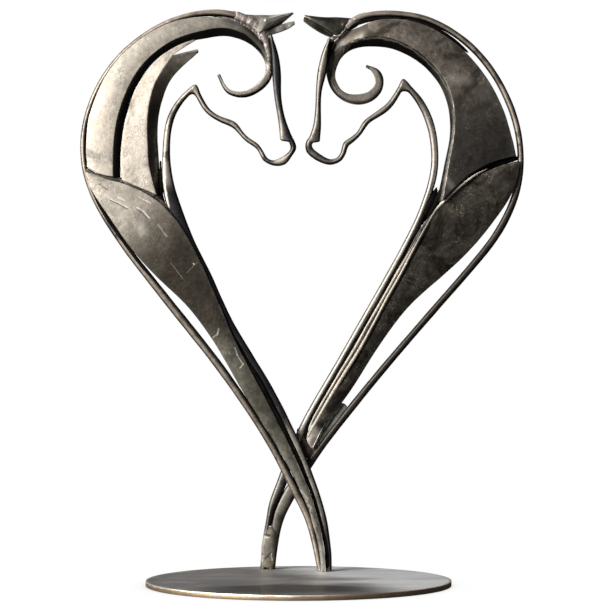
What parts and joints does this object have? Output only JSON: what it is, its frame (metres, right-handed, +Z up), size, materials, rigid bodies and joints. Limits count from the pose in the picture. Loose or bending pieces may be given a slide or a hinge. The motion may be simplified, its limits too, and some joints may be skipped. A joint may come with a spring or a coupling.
{
  "type": "metal horse statue",
  "caption": "Forged steel statue of facing horse heads whose arched necks draw a heart, with the legs crossed above a round base plate.",
  "frame": {"origin": "middle of the bounding box, on the underside of the round base plate", "axes": "+X towards the right-hand horse seen from the front, +Y towards the back, +Z up"},
  "size_m": [0.4718, 0.314, 0.6008],
  "materials": {
    "base_steel": "satin ground top with a flame-cut rim",
    "bar_steel": "forged, wire brushed and clear coated",
    "face_steel": "forged, wire brushed and clear coated",
    "mane_steel": "hammered plate with mottled scale, clear coated",
    "leaf_steel": "hammered plate with dark scale and chisel marks, clear coated",
    "ear_steel": "forged sheet with lit rims, clear coated"
  },
  "bodies": {
    "root": {"base_plate": "base_steel", "left_crest_bar": "bar_steel", "left_face_bar": "face_steel", "left_mane_band": "mane_steel", "left_mane_lock": "mane_steel", "left_shoulder_plate": "leaf_steel", "left_ear": "ear_steel", "right_crest_bar": "bar_steel", "right_face_bar": "face_steel", "right_mane_plate": "mane_steel", "right_shoulder_plate": "leaf_steel", "right_ear": "ear_steel"}
  },
  "joints": []
}
